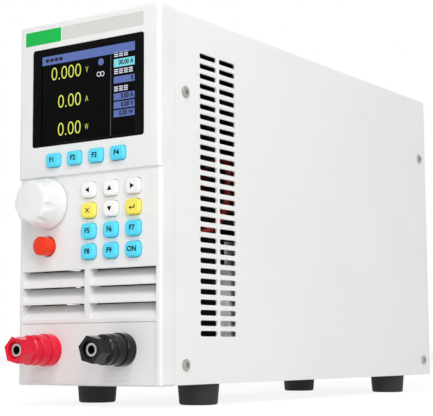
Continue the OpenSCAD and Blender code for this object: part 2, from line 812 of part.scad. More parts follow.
module knob() color("whitesmoke") {
    r0 = knob_d / 2;
    r1 = knob_front_d / 2;
    rim_h = knob_h - knob_dome - knob_edge;
    side_r = r1 + (r0 - 0.5 - r1) * (rim_h - flute_end) / (rim_h - 3.2);
    lean = atan((side_r - r1 + flute_depth) / (knob_h - flute_end));
    arc = [for (a = [0:15:75]) [r1 - knob_edge * (1 - cos(a)), rim_h + knob_edge * sin(a)]];
    translate([knob_x, 0, knob_z]) rotate([90, 0, 0]) difference() {
        rotate_extrude() polygon(concat([[0, knob_gap], [r0, knob_gap], [r0, 2.4], [r0 - 0.5, 3.2]],
            arc, [[0, knob_h]]));
        translate([0, 0, -cut]) cylinder(r = 7.2, h = cut + 5.6);
        difference() {
            cylinder(r = shaft_r + 0.04, h = shaft_end + 0.4);
            translate([shaft_r / 2 + 0.04, -5, 0]) cube([10, 10, 20]);
        }
        for (i = [0:flute_n - 1]) {
            rotate(flute_turn + i * 360 / flute_n) translate([r1 - flute_depth, 0, knob_h])
                rotate([0, -lean, 0]) translate([flute_r, 0, -knob_h]) cylinder(r = flute_r, h = 2 * knob_h);
        }
    }
}

module power_switch() color("dimgray") {
    difference() {
        box([knob_x - 4.5, board_back, button_z - 4.5], [knob_x + 4.5, board_back + 11, button_z + 4.5]);
        rod(knob_x, button_z, 1.9, board_back - cut, board_back + 3.2 + button_travel + 1);
    }
}

module power_button() color("orangered") {
    r = button_d / 2;
    back = front_t + 0.3;
    translate([knob_x, 0, button_z]) rotate([90, 0, 0]) rotate_extrude() polygon([
        [0, button_out], [r * 0.45, button_out - 0.12], [r * 0.8, button_out - 0.5], [r, button_out - 1.2],
        [r, -back], [r + 1.2, -back], [r + 1.2, -back - 1.2], [1.6, -back - 1.2],
        [1.6, -board_back - 3], [0, -board_back - 3]]);
}

module post_base(s) {
    translate([post_at(s), 0, post_z]) rotate([90, 0, 0]) rotate_extrude() polygon([
        [stud_r + 0.02, -front_t], [5, -front_t], [5, -field_depth], [base_d / 2, -field_depth],
        [base_d / 2, base_len - 0.6], [base_d / 2 - 0.5, base_len], [collar_d / 2 - 0.6, base_len],
        [collar_d / 2 - 0.6, base_len + 0.4], [collar_d / 2, base_len + 0.8],
        [collar_d / 2, base_len + collar_len - 0.4], [collar_d / 2 - 0.4, base_len + collar_len],
        [stud_r + 0.02, base_len + collar_len]]);
}

module post_cap(s) {
    r = cap_d / 2;
    skirt = cap_y - cap_len;
    difference() {
        union() {
            hex_bar(post_at(s), post_z, cap_flats, -post_len, skirt + 1, cap_turn);
            translate([post_at(s), cap_y, post_z]) rotate([90, 0, 0]) rotate_extrude() polygon([[0, 0],
                [r - 0.3, 0], [r, 0.4], [r, cap_len - 0.9], [r - 0.9, cap_len], [0, cap_len]]);
        }
        rod(post_at(s), post_z, stud_r + cap_fit, -post_len - cut, cap_y + cut);
        rod(post_at(s), post_z, 4.1, -post_len - cut, -post_len + tip_sink + 0.7);
        rod(post_at(s), post_z, 5.6, cap_y - 1.2, cap_y + cut);
    }
}

module post_stud(s) {
    color("gold") difference() {
        rod(post_at(s), post_z, stud_r, -post_len + tip_sink, lug_y + lug_t + 4.5);
        rod(post_at(s), post_z, socket_r, -post_len - cut, -post_len + tip_sink + socket_len);
    }
}

module clamp_washer(s) {
    color("silver") difference() {
        rod(post_at(s), post_z, 5.3, cap_y - 1.1, cap_y - 0.1);
        rod(post_at(s), post_z, stud_r + cap_fit, cap_y - 2, cap_y + cut);
    }
}

module post_nuts() color("silver") {
    for (s = [-1, 1], y = [nut_y, lug_y + lug_t]) {
        thick = y == nut_y ? nut_t : 3.5;
        difference() {
            hex_bar(post_at(s), post_z, 10, y, y + thick);
            rod(post_at(s), post_z, stud_r + 0.02, y - cut, y + thick + cut);
        }
    }
}

module post_lugs() color("silver") {
    for (s = [-1, 1]) {
        translate([post_at(s), lug_y, post_z]) difference() {
            union() {
                rod(0, 0, lug_r, 0, lug_t);
                box([-2.2, 0, 3], [2.2, lug_t, lug_len]);
                translate([0, lead_r + 0.2, lug_len - 1]) cylinder(r = lead_r + 0.6, h = ferrule_len);
            }
            rod(0, 0, stud_r + 0.02, -cut, lug_t + cut);
            translate([0, lead_r + 0.2, lead_in]) cylinder(r = lead_r + 0.02, h = ferrule_len);
        }
    }
}

function unit(v) = v / norm(v);
function blend(p, t) = let(n = len(p) - 1, i = min(floor(t), n - 1), u = t - i,
    a = p[max(i - 1, 0)], b = p[i], c = p[i + 1], d = p[min(i + 2, n)])
    0.5 * (2 * b + (c - a) * u + (2 * a - 5 * b + 4 * c - d) * u * u + (3 * b - a - 3 * c + d) * u * u * u);

// Round lead through a list of points.
module lead(points) {
    sides = 12;
    steps = (len(points) - 1) * 5;
    path = [for (i = [0:steps]) blend(points, i / 5)];
    way = [for (i = [0:steps]) unit(path[min(i + 1, steps)] - path[max(i - 1, 0)])];
    turn = 360 / sides;
    rings = [for (i = [0:steps]) let(u = unit(cross(way[i], [1, 1, -1])), v = cross(way[i], u))
        each [for (k = [0:sides - 1]) path[i] + lead_r * (cos(k * turn) * u + sin(k * turn) * v)]];
    polyhedron(rings, concat([[for (k = [0:sides - 1]) k]],
        [for (i = [0:steps - 1], k = [0:sides - 1]) [i * sides + k, (i + 1) * sides + k,
            (i + 1) * sides + (k + 1) % sides, i * sides + (k + 1) % sides]],
        [[for (k = [sides - 1:-1:0]) steps * sides + k]]));
}

lead_y = lug_y + lead_r + 0.2;
lead_z = post_z + lead_in;
tap_y = sink_y0 - 2 * lead_r;
red_tap_z = fin_z + 21;
black_tap_z = fin_z - 18;
run_x = core_x1 - 8.4;
run_y = core_y + 21;

module red_lead() color("red") {
    x = post_at(-1);
    lead([[x, lead_y, lead_z], [x, lead_y, lead_z + 6], [x, lead_y, lead_z + 10],
        [x + 1, lead_y + 5, lead_z + 20], [(x + run_x) / 2 - 10, core_y - 16, core_top - 10],
        [run_x - 16, core_y + 2, core_top + 1], [run_x - 4, core_y + 12, core_top + 7],
        [run_x, run_y - 2, core_top + 17], [run_x, run_y + 0.5, core_top + 29],
        [run_x - 2, run_y + 4, core_top + 40], [run_x - 13, run_y + 15, core_top + 46],
        [board_x + 24, tap_y - 12, red_tap_z + 9], [board_x + 14, tap_y - 2, red_tap_z + 3],
        [board_x + 10, tap_y, red_tap_z], [board_x + 5, tap_y, red_tap_z], [board_x, tap_y, red_tap_z]]);
}

module black_lead() color("black") {
    x = post_at(1);
    lead([[x, lead_y, lead_z], [x, lead_y, lead_z + 6], [x, lead_y, lead_z + 10],
        [x - 5, lead_y + 8, lead_z + 17], [4, core_y - 14, lead_z + 22],
        [board_x + 15, core_y + 4, black_tap_z - 14], [board_x + 14, core_y + 38, black_tap_z - 9],
        [board_x + 14, tap_y - 6, black_tap_z - 3], [board_x + 10, tap_y, black_tap_z],
        [board_x + 5, tap_y, black_tap_z], [board_x, tap_y, black_tap_z]]);
}

module heatsink() color("gray") {
    box([sink_x, sink_y0, tray_top], [sink_x + sink_t, sink_y1, sink_top]);
    box([sink_x, sink_y0, tray_top], [sink_x + sink_t + 14, sink_y1, tray_top + 4]);
    for (i = [0:fin_n - 1]) {
        box([sink_x + sink_t - 1, sink_y0, fin_z + i * fin_pitch],
            [sink_x + sink_t + fin_len, sink_y1, fin_z + i * fin_pitch + fin_t]);
    }
}

module power_transistors() color("black") {
    span = sink_y1 - sink_y0;
    for (i = [0:2], z = [fin_z - case_h / 1.5, fin_z + 1.5 * case_h]) {
        y = sink_y0 + span * (0.25 + 0.25 * i);
        box([sink_x - case_t, y - case_w / 2, z], [sink_x, y + case_w / 2, z + case_h]);
        for (k = [-1:1]) {
            box([sink_x - 2.6, y + k * 5.4 - 0.6, z - 8], [sink_x - 2, y + k * 5.4 + 0.6, z + 0.5]);
        }
    }
}

module main_board() color("darkgreen") {
    box([board_x - board_t, main_y0, board_low], [board_x, main_y0 + main_l, board_low + main_h]);
}

module board_standoffs() color("gold") {
    for (y = [sink_y0 + 8, sink_y1 - 14], z = [board_low + 10, board_low + main_h - 8]) {
        translate([board_x, y, z]) rotate([0, 90, 0]) cylinder(r = 2.75, h = standoff_len, $fn = 6);
    }
}

module board_components() color("slategray") {
    face = board_x - board_t;
    reach = flange_x + face - 3;
    for (i = [0:3]) {
        translate([face - reach * 0.8, main_y0 + main_l * (0.14 + 0.11 * i), board_low + main_h * 0.88])
            rotate([0, 90, 0]) cylinder(r = main_l * 0.04, h = reach * 0.8);
    }
    for (y = [main_y0 + main_l * 0.12, main_y0 + main_l * 0.4]) {
        box([face - reach * 0.7, y, board_low + main_h * 0.48],
            [face, y + relay_l, board_low + main_h * 0.48 + relay_h]);
    }
    box([face - reach * 0.5, main_y0 + main_l * 0.03, board_low + main_h * 0.09],
        [face, main_y0 + main_l * 0.09, board_low + main_h * 0.32]);
    translate([face - reach * 0.6, main_y0 + main_l * 0.74, board_low + main_h * 0.3]) rotate([0, 90, 0])
        difference() {
            cylinder(r = choke_r, h = reach * 0.6);
            translate([0, 0, -cut]) cylinder(r = choke_r / 2, h = reach);
        }
}

module transformer() color("lightgray") {
    x0 = core_x1 - core_w;
    mid = [(x0 + core_x1) / 2, tray_top + core_h / 2];
    wind_w = core_w - 2 * wind_in;
    wind_h = core_h * 0.68;
    difference() {
        union() {
            box([x0, core_y + core_l * 0.2, tray_top], [core_x1, core_y + core_l * 0.8, tray_top + core_h]);
            along_y(core_y, core_y + core_l) translate(mid) rounded(wind_w, wind_h, wind_r);
            for (y = [core_y, core_y + core_l - cheek_t]) {
                along_y(y, y + cheek_t) translate(mid)
                    rounded(wind_w + 2 * cheek_out, wind_h + 2 * cheek_out, wind_r);
            }
            box([x0 + 6, core_y + 2, tray_top], [core_x1 - 6, core_y + core_l - 2, tray_top + 1.5]);
            box([x0 + 5, core_y + core_l * 0.3, tray_top + core_h - 1],
                [core_x1 - 5, core_y + core_l * 0.7, core_top]);
        }
        for (y = [core_y + 5, core_y + core_l - 5]) {
            translate([(x0 + core_x1) / 2, y, tray_top - cut]) cylinder(r = 1.8, h = 3 + cut);
        }
    }
}

module fan_frame() color("black") {
    difference() {
        union() {
            difference() {
                box([-fan_w / 2, fan_y, fan_z - fan_w / 2], [fan_w / 2, rear_y, fan_z + fan_w / 2]);
                rod(0, fan_z, fan_bore, fan_y - cut, rear_y + cut);
            }
            rod(0, fan_z, 15, rear_y - 4, rear_y - 0.5);
            for (a = [45, 135]) {
                translate([0, rear_y - 0.5, fan_z]) rotate([90, 0, 0]) rotate(a)
                    translate([-fan_bore - 1, -1.5, 0]) cube([2 * fan_bore + 2, 3, 3]);
            }
            rod(0, fan_z, 2.5, rear_y - 18, rear_y - 3);
        }
        for (p = fan_places) {
            rod(p[0], p[1], fan_screw_r + 0.1, fan_y - cut, rear_y + cut);
        }
        for (s = [-1, 1], q = [-1, 1]) {
            box([s > 0 ? fan_w / 2 - 9 : -fan_w / 2 - cut, fan_y + 5, fan_z + q * (fan_w / 2 - 4.5) - 5.6],
                [s > 0 ? fan_w / 2 + cut : 9 - fan_w / 2, rear_y - 5, fan_z + q * (fan_w / 2 - 4.5) + 5.6]);
        }
    }
}

module fan_rotor() color("dimgray") {
    translate([0, rear_y - 4.6, fan_z]) rotate([90, 0, 0]) difference() {
        union() {
            cylinder(r = 15, h = fan_t - 6.6);
            for (i = [0:blade_n - 1]) {
                rotate(i * 360 / blade_n) translate([13, 0, fan_t / 2 - 3.3]) rotate([42, 0, 0])
                    translate([0, -8.5, -0.6]) cube([fan_bore - 15, 17, 1.2]);
            }
        }
        translate([0, 0, -cut]) cylinder(r = 2.55, h = 16);
    }
}

module fan_guard() color("silver") {
    y = rear_face + wire_r;
    for (k = [0:3]) {
        r = 7 + (fan_hole - 7) * k / 3;
        translate([0, y, fan_z]) rotate([90, 0, 0]) rotate_extrude()
            translate([r, 0]) circle(wire_r, $fn = 24);
    }
    for (p = fan_places) {
        reach = (fan_w / 2 - 4.5) * sqrt(2) - 2.8;
        turn = atan2(p[1] - fan_z, p[0]);
        translate([0, y, fan_z]) rotate([90, 0, 0]) rotate(turn) translate([7, 0, 0]) rotate([0, 90, 0])
            cylinder(r = wire_r * 0.9, h = reach - 7, $fn = 24);
        difference() {
            rod(p[0], p[1], fan_screw_r + 2.1, y - wire_r, y + wire_r);
            rod(p[0], p[1], fan_screw_r + 0.3, y - cut - wire_r, y + cut + wire_r);
        }
    }
}

module fan_screws() color("silver") {
    for (p = fan_places) {
        translate([p[0], rear_face + 2 * wire_r, p[1]]) rotate([-90, 0, 0])
            pan_screw(fan_screw_r, 2 * fan_screw_r, 1.8, 2 * wire_r + rear_t + fan_screw_bite);
    }
}

module mains_inlet() color("black") {
    back = rear_face - inlet_depth;
    difference() {
        union() {
            along_y(rear_face, rear_face + 2.5) translate([0, inlet_z]) rounded(31, 24, 2.5);
            along_y(back, rear_face + 0.5) translate([0, inlet_z]) square([inlet_w, inlet_h], center = true);
        }
        along_y(back + 5, rear_face + 3.5) translate([0, inlet_z])
            polygon([[-12, -8.1], [12, -8.1], [12, 3.6], [7.5, 8.1], [-7.5, 8.1], [-12, 3.6]]);
    }
    for (p = [[-7, -1.5], [0, 2.5], [7, -1.5]]) {
        translate([p[0], 0, inlet_z + p[1]]) box([-1, back - 6, -2], [1, rear_face - 3, 2]);
    }
}

module serial_port() color("silver") {
    difference() {
        union() {
            along_y(rear_y - 0.8, rear_y) translate([0, serial_z]) rounded(31, 12.4, 2);
            along_y(rear_y - 9, rear_y - 0.7) translate([0, serial_z]) square([19, 10.6], center = true);
            along_y(rear_y - 0.8, rear_y + 5) translate([0, serial_z])
                polygon([[-9, 4], [9, 4], [9.6, 3.4], [8.2, -4], [-8.2, -4], [-9.6, 3.4]]);
            for (s = [-1, 1]) {
                rod(s * jack_x, serial_z, 1.5, rear_y - 0.8, rear_face + 0.5);
                hex_bar(s * jack_x, serial_z, 5, rear_face, rear_face + 3.4);
            }
        }
        for (s = [-1, 1]) {
            rod(s * jack_x, serial_z, 1.1, rear_face - 0.5, rear_face + 4);
        }
        for (i = [0:4]) {
            rod((i - 2) * 2.77, serial_z + 1.42, 0.6, rear_y + 1, rear_y + 6);
        }
        for (i = [0:3]) {
            rod((i - 1.5) * 2.77, serial_z - 1.42, 0.6, rear_y + 1, rear_y + 6);
        }
    }
}

module sense_terminal() color("green") {
    difference() {
        union() {
            along_y(rear_y - 8, rear_face + 3) translate([0, sense_z])
                square([sense_w, sense_h], center = true);
            along_y(rear_y - 1.5, rear_y) translate([0, sense_z]) square([23, 11], center = true);
        }
        for (i = [0:3]) {
            rod((i - 1.5) * 5, sense_z, 1.5, rear_y - 4, rear_face + 4);
        }
    }
}

in_frame() front_bezel();
in_frame() outer_cover();
in_frame() base_tray();
in_frame() rear_panel();
in_frame() rubber_feet();
in_frame() foot_screws();
in_frame() cover_screws();
in_frame() display_surround();
in_frame() display_module();
in_frame() front_board();
in_frame() board_screws();
in_frame() key_switches();
in_frame() soft_key(0);  // soft_key_1
in_frame() soft_key(1);  // soft_key_2
in_frame() soft_key(2);  // soft_key_3
in_frame() soft_key(3);  // soft_key_4
in_frame() pad_key(0, 3, "white");  // left_key
in_frame() pad_key(1, 3, "white");  // up_key
in_frame() pad_key(2, 3, "white");  // right_key
in_frame() pad_key(0, 2, "gold");  // cancel_key
in_frame() pad_key(1, 2, "white");  // down_key
in_frame() pad_key(2, 2, "gold");  // confirm_key
in_frame() pad_key(0, 1, "deepskyblue");  // blue_key_1
in_frame() pad_key(1, 1, "deepskyblue");  // blue_key_2
in_frame() pad_key(2, 1, "deepskyblue");  // blue_key_3
in_frame() pad_key(0, 0, "deepskyblue");  // blue_key_4
in_frame() pad_key(1, 0, "deepskyblue");  // blue_key_5
in_frame() pad_key(2, 0, "deepskyblue");  // blue_key_6
in_frame() encoder_body();
in_frame() encoder_nut();
in_frame() encoder_shaft();
in_frame() knob();
in_frame() power_switch();
in_frame() power_button();
in_frame() color("crimson") post_base(-1);  // red_post_base
in_frame() color("black") post_base(1);  // black_post_base
in_frame() color("crimson") post_cap(-1);  // red_post_cap
in_frame() color("black") post_cap(1);  // black_post_cap
in_frame() post_stud(-1);  // red_post_stud
in_frame() post_stud(1);  // black_post_stud
in_frame() clamp_washer(-1);  // red_clamp_washer
in_frame() clamp_washer(1);  // black_clamp_washer
in_frame() post_nuts();
in_frame() post_lugs();
in_frame() red_lead();
in_frame() black_lead();
in_frame() heatsink();
in_frame() power_transistors();
in_frame() main_board();
in_frame() board_standoffs();
in_frame() board_components();
in_frame() transformer();
in_frame() fan_frame();
in_frame() fan_rotor();
in_frame() fan_guard();
in_frame() fan_screws();
in_frame() mains_inlet();
in_frame() serial_port();
in_frame() sense_terminal();
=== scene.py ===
# %% [markdown]
# # A bench electronic load
# The solids of the instrument come in as a fixed frame: every CAD node is already in place, in metres.
# This lesson gives each node the finish of the real piece, adds what is printed or lit on the front, and
# sets up the light and the camera of the photograph.

# %% Load the frame
import bpy
import bmesh
import math
from mathutils import Matrix, Vector


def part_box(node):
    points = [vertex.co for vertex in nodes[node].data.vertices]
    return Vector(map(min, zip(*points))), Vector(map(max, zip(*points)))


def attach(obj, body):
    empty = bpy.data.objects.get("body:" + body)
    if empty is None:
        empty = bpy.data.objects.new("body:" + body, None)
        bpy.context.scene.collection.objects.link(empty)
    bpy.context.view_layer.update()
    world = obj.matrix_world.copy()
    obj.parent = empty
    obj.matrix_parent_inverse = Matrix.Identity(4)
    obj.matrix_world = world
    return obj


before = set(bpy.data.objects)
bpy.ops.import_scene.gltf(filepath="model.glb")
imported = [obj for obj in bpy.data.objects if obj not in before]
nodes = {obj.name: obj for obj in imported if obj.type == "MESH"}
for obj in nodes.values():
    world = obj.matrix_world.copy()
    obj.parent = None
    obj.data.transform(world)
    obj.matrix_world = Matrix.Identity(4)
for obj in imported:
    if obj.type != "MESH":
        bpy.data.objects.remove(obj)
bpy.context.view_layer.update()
scene = bpy.context.scene

# %% [markdown]
# ## The panel's own ruler
# Print and plates are placed on the front panel, so it helps to measure from the panel itself: x from its
# middle, y from the face of the lower panel, z from its lower edge. The nut under the knob sits flat on
# that face, and the panel's box gives the lower edge. Sizes are then written in millimetres, as on a
# drawing.

# %% Places on the panel
MM = 0.001
panel_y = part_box("encoder_nut")[1].y
panel_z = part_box("front_bezel")[0].z


def on_panel(x, y, z):
    """Row-frame place of a point given in millimetres on the panel."""
    return Vector((x * MM, panel_y + y * MM, panel_z + z * MM))


def face_of(node):
    """Middle of a node's front, the side that faces -Y."""
    low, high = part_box(node)
    return Vector(((low.x + high.x) / 2, low.y, (low.z + high.z) / 2))


upper_y = (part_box("front_bezel")[0].y - panel_y) / MM
print("display section stands out by", round(-upper_y, 2), "mm")

# %% [markdown]
# ## Two small tools for finishes
# A paint or plastic colour is easiest to read as the hex value that a picture editor shows, but shaders
# work in linear light, so one function converts it. A second one adds a shader node: a value is set on
# the input, and an output of another node is linked to it. Everything else about a finish is then plain
# to read.

# %% Colour and node tools


def linear(code):
    """Linear RGBA of an sRGB hex colour such as 'F2F1EE'."""
    parts = [int(code[i:i + 2], 16) / 255 for i in (0, 2, 4)]
    return tuple(c / 12.92 if c <= 0.04045 else ((c + 0.055) / 1.055) ** 2.4 for c in parts) + (1.0,)


def add(tree, kind, inputs=None, **settings):
    """Adds one shader node; inputs are values or outputs of other nodes, settings are its properties."""
    made = tree.nodes.new(kind)
    for key, value in settings.items():
        setattr(made, key, value)
    for key, value in (inputs or {}).items():
        if isinstance(value, bpy.types.NodeSocket):
            tree.links.new(value, made.inputs[key])
        else:
            made.inputs[key].default_value = value
    return made


def finish_start(name):
    """An empty material with its node tree and the Object coordinates that all patterns use."""
    material = bpy.data.materials.new(name)
    material.use_nodes = True
    tree = material.node_tree
    tree.nodes.clear()
    place = add(tree, "ShaderNodeTexCoord").outputs["Object"]
    return material, tree, place


def grit(size_mm):
    """Noise scale whose grains are about size_mm across."""
    return 1.0 / (size_mm * MM)


# %% [markdown]
# ## Moulded plastic
# The panel, knob, keys, button and posts are injection-moulded ABS or nylon. The tool leaves a very fine
# spark-eroded grain, the colour drifts a little over the part, and every edge is slightly round. Grain
# and drift are two noises; the soft edge is a Bevel node under the bump, which rounds the shading without
# touching the CAD mesh. The grain is about 0.4 mm, coarser than the real one, so that it shows at all in
# the picture.

# %% Moulded plastic finish


def moulded(name, base, drift, rough, grain_mm=0.4, grain=0.05, edge_mm=0.3, mirror=0.5):
    """Moulded plastic: colours, roughness, grain size and depth, soft edge and strength of its mirror."""
    material, tree, place = finish_start(name)
    cloud = add(tree, "ShaderNodeTexNoise", {"Vector": place, "Scale": grit(25), "Detail": 3.0})
    tint = add(tree, "ShaderNodeValToRGB", {"Fac": cloud.outputs["Fac"]})
    tint.color_ramp.elements[0].position, tint.color_ramp.elements[0].color = 0.35, linear(drift)
    tint.color_ramp.elements[1].position, tint.color_ramp.elements[1].color = 0.65, linear(base)
    fine = add(tree, "ShaderNodeTexNoise", {"Vector": place, "Scale": grit(grain_mm), "Detail": 2.0})
    sheen = add(tree, "ShaderNodeMapRange", {"Value": fine.outputs["Fac"],
                                             "To Min": rough - 0.05, "To Max": rough + 0.06})
    soft = add(tree, "ShaderNodeBevel", {"Radius": edge_mm * MM}, samples=6)
    bump = add(tree, "ShaderNodeBump", {"Height": fine.outputs["Fac"], "Strength": grain,
                                        "Distance": grain_mm * MM, "Normal": soft.outputs["Normal"]})
    body = add(tree, "ShaderNodeBsdfPrincipled", {"Base Color": tint.outputs["Color"], "IOR": 1.53,
                                                  "Roughness": sheen.outputs["Result"],
                                                  "Specular IOR Level": mirror,
                                                  "Normal": bump.outputs["Normal"]})
    add(tree, "ShaderNodeOutputMaterial", {"Surface": body.outputs["BSDF"]})
    return material


panel_abs = moulded("abs_panel_white", "F1F1F0", "EDEDEC", 0.5)
knob_abs = moulded("abs_knob_white", "F3F3F2", "EFEFEE", 0.42, grain=0.03, edge_mm=0.6)
key_blue = moulded("abs_key_light_blue", "5EE2FE", "58DCFC", 0.42, grain=0.03, edge_mm=0.5, mirror=0.3)
key_white = moulded("abs_key_white", "FBFBFA", "F7F7F5", 0.42, grain=0.03, edge_mm=0.5)
key_yellow = moulded("abs_key_yellow", "FCF06A", "F9EA5C", 0.42, grain=0.03, edge_mm=0.5, mirror=0.3)
button_red = moulded("abs_button_red", "F43812", "EE300A", 0.2, grain=0.02, edge_mm=1.8, mirror=0.26)
post_red = moulded("nylon_post_red", "EC143A", "E40E32", 0.15, grain=0.04, edge_mm=0.5, mirror=0.22)
post_black = moulded("nylon_post_black", "0E0F11", "0A0B0D", 0.14, grain=0.04, edge_mm=0.5, mirror=0.22)
case_black = moulded("nylon_case_black", "1F2022", "1A1B1C", 0.5, grain=0.08)
terminal_green = moulded("nylon_terminal_green", "2F8F4A", "287F40", 0.45)
part_grey = moulded("sleeve_slate", "4A515C", "3D434C", 0.45)
lead_red = moulded("pvc_lead_red", "C8201E", "B81A18", 0.4, edge_mm=0.2)
lead_black = moulded("pvc_lead_black", "1C1C1D", "171718", 0.4, edge_mm=0.2)
print("moulded finishes made")

# %% [markdown]
# ## Powder-coated cover
# The cover is folded steel sheet with a white powder coat. Powder flows out before it cures and leaves a
# faint orange peel: bumps about 1.5 mm across and very shallow, with a satin gloss. One noise makes the
# peel, a finer one breaks up the gloss. Only the outside is coated: a mask on the inner faces gives them a
# dark grey that is partly bare phosphated steel and partly painted shade, so that the slots look into a
# dark case.

# %% Powder coat finish


SHEET = 1.0 * MM
OUTER_SKIN = 0.97 * SHEET
cover_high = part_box("outer_cover")[1]


def powder_coat(name, base, drift, bare_steel_and_shade):
    """Powder coat with orange peel; the inner faces of the folded sheet stay bare, dark as a painted shade.
    """
    material, tree, place = finish_start(name)
    cloud = add(tree, "ShaderNodeTexNoise", {"Vector": place, "Scale": grit(60), "Detail": 2.0})
    tint = add(tree, "ShaderNodeValToRGB", {"Fac": cloud.outputs["Fac"]})
    tint.color_ramp.elements[0].position, tint.color_ramp.elements[0].color = 0.3, linear(drift)
    tint.color_ramp.elements[1].position, tint.color_ramp.elements[1].color = 0.7, linear(base)
    axis = add(tree, "ShaderNodeSeparateXYZ", {"Vector": place})
    side = add(tree, "ShaderNodeMath", {0: axis.outputs["X"]}, operation="ABSOLUTE")
    between = add(tree, "ShaderNodeMath", {0: side.outputs[0], 1: cover_high.x - OUTER_SKIN},
                  operation="LESS_THAN")
    under = add(tree, "ShaderNodeMath", {0: axis.outputs["Z"], 1: cover_high.z - OUTER_SKIN},
                operation="LESS_THAN")
    inside = add(tree, "ShaderNodeMath", {0: between.outputs[0], 1: under.outputs[0]}, operation="MULTIPLY")
    # Inner faces take the dark bare-steel colour, which also paints the shade inside the case.
    colour = add(tree, "ShaderNodeMix", {0: inside.outputs[0], 6: tint.outputs["Color"], 7: linear(bare_steel_and_shade)},
                 data_type="RGBA")
    peel = add(tree, "ShaderNodeTexNoise", {"Vector": place, "Scale": grit(1.5), "Detail": 2.0})
    fine = add(tree, "ShaderNodeTexNoise", {"Vector": place, "Scale": grit(0.5), "Detail": 1.0})
    gloss = add(tree, "ShaderNodeMapRange", {"Value": fine.outputs["Fac"], "To Min": 0.36, "To Max": 0.46})
    soft = add(tree, "ShaderNodeBevel", {"Radius": 0.3 * MM}, samples=6)
    bump = add(tree, "ShaderNodeBump", {"Height": peel.outputs["Fac"], "Strength": 0.04,
                                        "Distance": 0.3 * MM, "Normal": soft.outputs["Normal"]})
    body = add(tree, "ShaderNodeBsdfPrincipled", {"Base Color": colour.outputs[2], "IOR": 1.5,
                                                  "Roughness": gloss.outputs["Result"],
                                                  "Normal": bump.outputs["Normal"]})
    add(tree, "ShaderNodeOutputMaterial", {"Surface": body.outputs["BSDF"]})
    return material


cover_paint = powder_coat("powder_coat_white", "F3F3F2", "F0F0EF", "3A3B3C")
print("cover finish made")

# %% [markdown]
# ## Bare and plated metal
# The tray and the rear panel are zinc-plated sheet with a faint rolling direction, the screws and the fan
# guard are nickel-plated, the sockets are nickel over brass and the heat sink is dark anodised aluminium
# with the fine lines of extrusion. All are one idea: a noise stretched along one axis drives both colour
# and roughness.

# %% Metal finish


def metal(name, bright, dull, rough, stretch, line_mm=0.5):
    """Metal with fine lines; stretch lists how far the pattern is drawn out along x, y and z."""
    material, tree, place = finish_start(name)
    drawn = add(tree, "ShaderNodeMapping", {"Vector": place, "Scale": tuple(1.0 / s for s in stretch)})
    lines = add(tree, "ShaderNodeTexNoise", {"Vector": drawn.outputs["Vector"], "Scale": grit(line_mm),
                                             "Detail": 3.0})
    tint = add(tree, "ShaderNodeValToRGB", {"Fac": lines.outputs["Fac"]})
    tint.color_ramp.elements[0].position, tint.color_ramp.elements[0].color = 0.3, linear(dull)
    tint.color_ramp.elements[1].position, tint.color_ramp.elements[1].color = 0.7, linear(bright)
    gloss = add(tree, "ShaderNodeMapRange", {"Value": lines.outputs["Fac"],
                                             "To Min": rough - 0.07, "To Max": rough + 0.1})
    soft = add(tree, "ShaderNodeBevel", {"Radius": 0.15 * MM}, samples=4)
    bump = add(tree, "ShaderNodeBump", {"Height": lines.outputs["Fac"], "Strength": 0.05,
                                        "Distance": 0.1 * MM, "Normal": soft.outputs["Normal"]})
    body = add(tree, "ShaderNodeBsdfPrincipled", {"Base Color": tint.outputs["Color"], "Metallic": 1.0,
                                                  "Roughness": gloss.outputs["Result"],
                                                  "Normal": bump.outputs["Normal"]})
    add(tree, "ShaderNodeOutputMaterial", {"Surface": body.outputs["BSDF"]})
    return material


zinc = metal("zinc_plated_sheet", "C9CCCE", "B4B8BB", 0.38, (1, 30, 1), 1.0)
nickel = metal("nickel_plated_steel", "CFCFCB", "BEBEBA", 0.25, (1, 1, 1), 0.6)
screw_nickel = metal("nickel_plated_screw", "BDBAB2", "9C9992", 0.3, (1, 1, 1), 0.6)
socket_nickel = metal("nickel_on_brass", "BDBCB8", "A8A7A2", 0.22, (1, 8, 1), 0.4)
anodised = metal("anodised_extrusion", "4B4C50", "3C3D41", 0.45, (1, 40, 1), 0.6)
print("metal finishes made")

# %% [markdown]
# ## The transformer
# Through the side slots the transformer shows: a stack of steel sheets under pale varnish, with black
# paper on its ends between the limbs, a winding under pale tape and a black moulded cheek outside each
# half. It is one CAD node, so the zones are told apart by their distance from its middle, on a colour
# ramp with hard steps, and two Compare nodes keep the paper. A noise drawn out in the plane of the sheets
# gives the edges of the stack.

# %% Transformer finish


